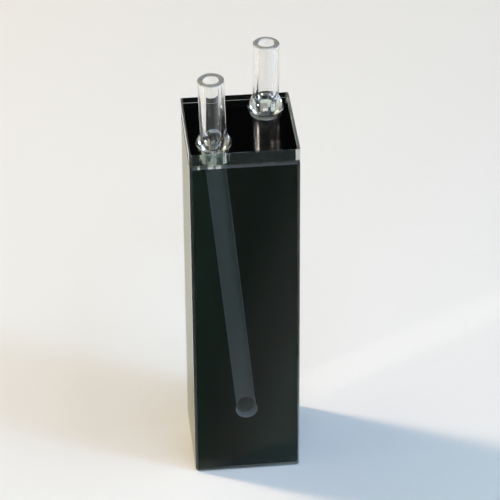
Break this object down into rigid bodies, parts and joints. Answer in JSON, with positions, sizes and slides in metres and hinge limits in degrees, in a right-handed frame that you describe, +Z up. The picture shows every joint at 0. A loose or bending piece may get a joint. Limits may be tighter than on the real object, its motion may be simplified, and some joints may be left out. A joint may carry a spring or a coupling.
{
  "type": "flow-through cuvette",
  "caption": "Black-walled flow-through cuvette: a fused glass body with clear windows, a small round measuring bore fed by slanting channels, and glass tubes on top.",
  "frame": {"origin": "centre of the body's underside", "axes": "+Z up along the body, +Y along the light path from the front window to the rear window, +X to the right seen from the front window"},
  "size_m": [0.0126, 0.0126, 0.0533],
  "materials": {
    "black_glass": "opaque black quartz glass, polished outside, satin in the ground channels",
    "window_quartz": "clear, optically polished",
    "plate_quartz": "clear, polished, fine-ground bevels",
    "tube_quartz": "clear drawn tube, rim cut and ground"
  },
  "bodies": {
    "root": {"body_block": "black_glass", "front_window": "window_quartz", "rear_window": "window_quartz", "top_plate": "plate_quartz", "inlet_tube": "tube_quartz", "outlet_tube": "tube_quartz"}
  },
  "joints": []
}
